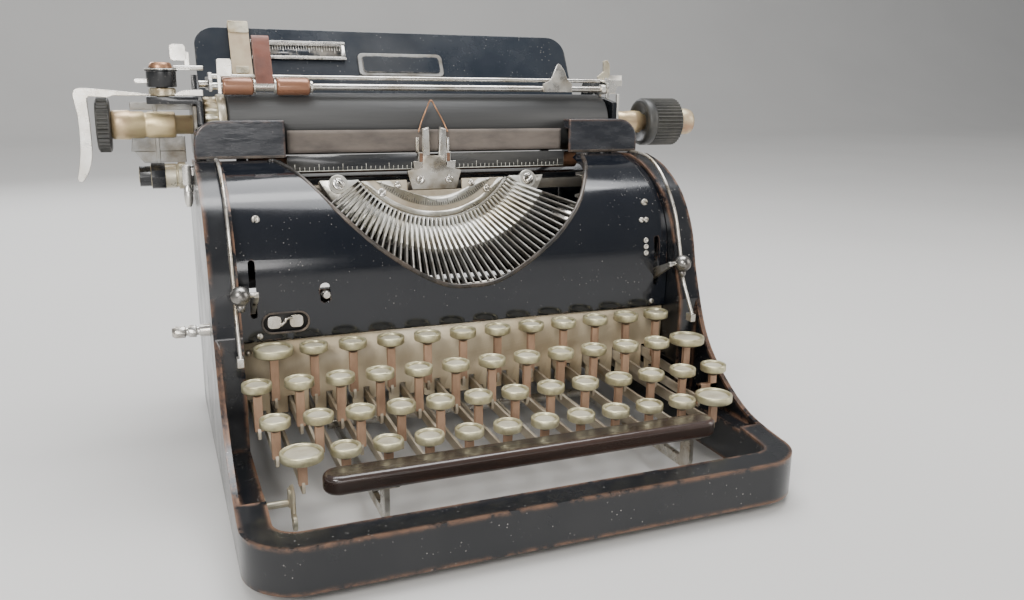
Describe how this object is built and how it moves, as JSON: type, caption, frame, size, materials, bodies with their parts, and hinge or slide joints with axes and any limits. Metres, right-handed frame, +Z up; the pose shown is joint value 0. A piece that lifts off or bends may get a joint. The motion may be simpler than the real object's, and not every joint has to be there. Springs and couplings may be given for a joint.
{
  "type": "typewriter",
  "caption": "Front-strike desk typewriter with four rows of round keys, a slotted type segment with a fan of type bars, and a sliding platen carriage.",
  "frame": {"origin": "middle of the machine's footprint, at the underside of its feet", "axes": "+X to the typist's right, +Y away from the typist, +Z up"},
  "size_m": [0.37, 0.2706, 0.2296],
  "materials": {
    "enamel": "gloss black enamel, worn to copper brown at its edges",
    "nickel": "bright nickel plate, lightly tarnished",
    "aged_nickel": "aged nickel plate",
    "brass": "worn tan brass",
    "key_brass": "pale brass key rings on copper-brown stems",
    "cream": "cream paint, soiled",
    "dark_steel": "dark blued steel",
    "rubber": "matt black rubber",
    "platen_rubber": "hard dark grey platen rubber",
    "knob": "moulded black knob",
    "brown_rubber": "hardened brown rubber",
    "black_wood": "black lacquered wood, worn brown along its front edge",
    "ribbon_cloth": "inked cotton ribbon, faded",
    "felt": "grey-brown felt"
  },
  "bodies": {
    "frame": {"main_frame": "enamel", "foot_front_left": "rubber", "foot_front_right": "rubber", "foot_rear_left": "rubber", "foot_rear_right": "rubber", "front_cover": "enamel", "rear_panel": "enamel", "ribbon_cover_left": "enamel", "ribbon_cover_right": "enamel", "key_comb": "cream", "type_segment": "nickel", "segment_plate": "aged_nickel", "typebar_rest": "felt", "type_guide": "nickel", "line_scale": "enamel", "ribbon": "ribbon_cloth", "bell": "nickel", "carriage_rail_front": "aged_nickel", "carriage_rail_rear": "aged_nickel", "typebar_bank": "dark_steel"},
    "key_row_1": {"key_row_1": "key_brass"},
    "key_row_2": {"key_row_2": "key_brass"},
    "key_row_3": {"key_row_3": "key_brass"},
    "key_row_4": {"key_row_4": "key_brass"},
    "margin_key": {"margin_key": "key_brass"},
    "tabulator_key": {"tabulator_key": "key_brass"},
    "shift_key_left": {"shift_key_left": "key_brass"},
    "shift_key_right": {"shift_key_right": "key_brass"},
    "shift_lock_key": {"shift_lock_key": "key_brass"},
    "letter_key_a": {"letter_key_a": "key_brass"},
    "letter_key_b": {"letter_key_b": "key_brass"},
    "letter_key_c": {"letter_key_c": "key_brass"},
    "space_bar": {"space_bar": "black_wood"},
    "typebar_a": {"typebar_a": "dark_steel"},
    "typebar_b": {"typebar_b": "dark_steel"},
    "typebar_c": {"typebar_c": "dark_steel"},
    "ribbon_vibrator": {"ribbon_vibrator": "nickel"},
    "ribbon_spool_left": {"ribbon_spool_left": "aged_nickel"},
    "ribbon_lever_left": {"ribbon_lever_left": "nickel"},
    "ribbon_spool_right": {"ribbon_spool_right": "aged_nickel"},
    "ribbon_lever_right": {"ribbon_lever_right": "nickel"},
    "side_push_rod": {"side_push_rod": "nickel"},
    "carriage": {"carriage_frame": "enamel", "paper_table": "enamel", "paper_scale": "nickel"},
    "platen": {"platen_roller": "platen_rubber", "platen_shaft": "brass", "platen_knob_left": "knob", "platen_knob_right": "knob", "line_ratchet": "brass"},
    "feed_roller": {"feed_roller": "brown_rubber"},
    "line_space_lever": {"line_space_lever": "nickel"},
    "paper_bail": {"paper_bail": "nickel"},
    "bail_roller_left": {"bail_roller_left": "brown_rubber"},
    "bail_roller_right": {"bail_roller_right": "brown_rubber"},
    "paper_side_guide": {"paper_side_guide": "aged_nickel"},
    "carriage_release_lever": {"carriage_release_lever": "nickel"},
    "mainspring_drum": {"mainspring_drum": "aged_nickel"},
    "escapement_wheel": {"escapement_wheel": "brass"}
  },
  "joints": [
    {"name": "key_row_1_press", "type": "hinge", "parent": "frame", "child": "key_row_1", "pos_m": [0, 0.0967, 0.053], "axis": [1, 0, 0], "range_deg": [0, 4.86], "stiffness_Nm_per_rad": 0.6, "springref_deg": -14.32},
    {"name": "key_row_2_press", "type": "hinge", "parent": "frame", "child": "key_row_2", "pos_m": [0, 0.0967, 0.0445], "axis": [1, 0, 0], "range_deg": [0, 4.2], "stiffness_Nm_per_rad": 0.6, "springref_deg": -14.32},
    {"name": "key_row_3_press", "type": "hinge", "parent": "frame", "child": "key_row_3", "pos_m": [0, 0.0967, 0.036], "axis": [1, 0, 0], "range_deg": [0, 3.72], "stiffness_Nm_per_rad": 0.6, "springref_deg": -14.32},
    {"name": "key_row_4_press", "type": "hinge", "parent": "frame", "child": "key_row_4", "pos_m": [0, 0.0967, 0.0275], "axis": [1, 0, 0], "range_deg": [0, 3.36], "stiffness_Nm_per_rad": 0.6, "springref_deg": -14.32},
    {"name": "margin_key_press", "type": "hinge", "parent": "frame", "child": "margin_key", "pos_m": [0, 0.0967, 0.053], "axis": [1, 0, 0], "range_deg": [0, 4.86], "stiffness_Nm_per_rad": 0.6, "springref_deg": -14.32},
    {"name": "tabulator_key_press", "type": "hinge", "parent": "frame", "child": "tabulator_key", "pos_m": [0, 0.0967, 0.0445], "axis": [1, 0, 0], "range_deg": [0, 4.2], "stiffness_Nm_per_rad": 0.6, "springref_deg": -14.32},
    {"name": "shift_key_left_press", "type": "hinge", "parent": "frame", "child": "shift_key_left", "pos_m": [0, 0.0967, 0.0275], "axis": [1, 0, 0], "range_deg": [0, 3.36], "stiffness_Nm_per_rad": 0.6, "springref_deg": -14.32},
    {"name": "shift_key_right_press", "type": "hinge", "parent": "frame", "child": "shift_key_right", "pos_m": [0, 0.0967, 0.0275], "axis": [1, 0, 0], "range_deg": [0, 3.36], "stiffness_Nm_per_rad": 0.6, "springref_deg": -14.32},
    {"name": "shift_lock_key_press", "type": "hinge", "parent": "frame", "child": "shift_lock_key", "pos_m": [0, 0.0967, 0.036], "axis": [1, 0, 0], "range_deg": [0, 3.72], "stiffness_Nm_per_rad": 0.6, "springref_deg": -14.32},
    {"name": "letter_key_a_press", "type": "hinge", "parent": "frame", "child": "letter_key_a", "pos_m": [0, 0.0967, 0.0445], "axis": [1, 0, 0], "range_deg": [0, 4.2], "stiffness_Nm_per_rad": 0.6, "springref_deg": -14.32},
    {"name": "letter_key_b_press", "type": "hinge", "parent": "frame", "child": "letter_key_b", "pos_m": [0, 0.0967, 0.036], "axis": [1, 0, 0], "range_deg": [0, 3.72], "stiffness_Nm_per_rad": 0.6, "springref_deg": -14.32},
    {"name": "letter_key_c_press", "type": "hinge", "parent": "frame", "child": "letter_key_c", "pos_m": [0, 0.0967, 0.0445], "axis": [1, 0, 0], "range_deg": [0, 4.2], "stiffness_Nm_per_rad": 0.6, "springref_deg": -14.32},
    {"name": "space_bar_press", "type": "hinge", "parent": "frame", "child": "space_bar", "pos_m": [0, 0.0147, 0.0135], "axis": [1, 0, 0], "range_deg": [0, 2.8], "stiffness_Nm_per_rad": 0.6, "springref_deg": -14.32},
    {"name": "typebar_a_swing", "type": "hinge", "parent": "frame", "child": "typebar_a", "pos_m": [-0.01215, 0.03542, 0.11386], "axis": [-0.9806, 0.0573, 0.1874], "range_deg": [0, 130.5]},
    {"name": "typebar_b_swing", "type": "hinge", "parent": "frame", "child": "typebar_b", "pos_m": [-0.00136, 0.03508, 0.11272], "axis": [-0.9998, 0.0064, 0.021], "range_deg": [0, 130.5]},
    {"name": "typebar_c_swing", "type": "hinge", "parent": "frame", "child": "typebar_c", "pos_m": [0.01215, 0.03542, 0.11386], "axis": [-0.9806, -0.0573, -0.1874], "range_deg": [0, 130.5]},
    {"name": "ribbon_vibrator_lift", "type": "slide", "parent": "frame", "child": "ribbon_vibrator", "axis": [0, 0, 1], "range_m": [0, 0.005], "stiffness_N_per_m": 60, "springref_m": -0.003},
    {"name": "ribbon_spool_left_spin", "type": "hinge", "parent": "frame", "child": "ribbon_spool_left", "pos_m": [-0.098, 0.0277, 0.137], "axis": [0, 0, 1], "continuous": true},
    {"name": "ribbon_lever_left_swing", "type": "hinge", "parent": "frame", "child": "ribbon_lever_left", "pos_m": [-0.11, -0.0118, 0.089], "axis": [1, 0, 0], "range_deg": [0, 12]},
    {"name": "ribbon_spool_right_spin", "type": "hinge", "parent": "frame", "child": "ribbon_spool_right", "pos_m": [0.098, 0.0277, 0.137], "axis": [0, 0, 1], "continuous": true},
    {"name": "ribbon_lever_right_swing", "type": "hinge", "parent": "frame", "child": "ribbon_lever_right", "pos_m": [0.11, -0.0118, 0.089], "axis": [1, 0, 0], "range_deg": [0, 12]},
    {"name": "side_push_rod_slide", "type": "slide", "parent": "frame", "child": "side_push_rod", "axis": [1, 0, 0], "range_m": [0, 0.01], "stiffness_N_per_m": 80, "springref_m": -0.002},
    {"name": "carriage_travel", "type": "slide", "parent": "frame", "child": "carriage", "axis": [-1, 0, 0], "range_m": [-0.095, 0.095]},
    {"name": "platen_turn", "type": "hinge", "parent": "carriage", "child": "platen", "pos_m": [0, 0.0702, 0.172], "axis": [1, 0, 0], "continuous": true},
    {"name": "feed_roller_turn", "type": "hinge", "parent": "carriage", "child": "feed_roller", "pos_m": [0, 0.0702, 0.1492], "axis": [1, 0, 0], "continuous": true},
    {"name": "line_space_lever_swing", "type": "hinge", "parent": "carriage", "child": "line_space_lever", "pos_m": [-0.1415, 0.0607, 0.189], "axis": [0, 0, 1], "range_deg": [0, 35], "stiffness_Nm_per_rad": 0.3, "springref_deg": -8.59},
    {"name": "paper_bail_lift", "type": "hinge", "parent": "carriage", "child": "paper_bail", "pos_m": [0, 0.0907, 0.193], "axis": [-1, 0, 0], "range_deg": [0, 60]},
    {"name": "bail_roller_left_turn", "type": "hinge", "parent": "paper_bail", "child": "bail_roller_left", "pos_m": [-0.104, 0.0613, 0.1922], "axis": [1, 0, 0], "continuous": true},
    {"name": "bail_roller_right_turn", "type": "hinge", "parent": "paper_bail", "child": "bail_roller_right", "pos_m": [-0.075, 0.0613, 0.1922], "axis": [1, 0, 0], "continuous": true},
    {"name": "paper_side_guide_slide", "type": "slide", "parent": "carriage", "child": "paper_side_guide", "axis": [1, 0, 0], "range_m": [-0.008, 0.09]},
    {"name": "carriage_release_swing", "type": "hinge", "parent": "carriage", "child": "carriage_release_lever", "pos_m": [0.123, 0.0927, 0.177], "axis": [1, 0, 0], "range_deg": [0, 15], "stiffness_Nm_per_rad": 0.3, "springref_deg": -8.59},
    {"name": "mainspring_drum_turn", "type": "hinge", "parent": "frame", "child": "mainspring_drum", "pos_m": [-0.078, 0.1077, 0.104], "axis": [0, 1, 0], "range_deg": [-240, 240]},
    {"name": "escapement_wheel_turn", "type": "hinge", "parent": "frame", "child": "escapement_wheel", "pos_m": [0.02, 0.1102, 0.116], "axis": [0, 1, 0], "range_deg": [-380, 380]}
  ],
  "couplings": [
    {"joint": "shift_key_right_press", "follows": "shift_key_left_press", "ratio": 1},
    {"joint": "typebar_a_swing", "follows": "letter_key_a_press", "ratio": 30.938},
    {"joint": "typebar_b_swing", "follows": "letter_key_b_press", "ratio": 34.984},
    {"joint": "typebar_c_swing", "follows": "letter_key_c_press", "ratio": 30.938},
    {"joint": "ribbon_spool_right_spin", "follows": "ribbon_spool_left_spin", "ratio": 1},
    {"joint": "feed_roller_turn", "follows": "platen_turn", "ratio": -3.4},
    {"joint": "bail_roller_left_turn", "follows": "platen_turn", "ratio": -3.7778},
    {"joint": "bail_roller_right_turn", "follows": "platen_turn", "ratio": -3.7778},
    {"joint": "mainspring_drum_turn", "follows": "carriage_travel", "rad_per_m": 41.667},
    {"joint": "escapement_wheel_turn", "follows": "carriage_travel", "rad_per_m": 66.667}
  ]
}
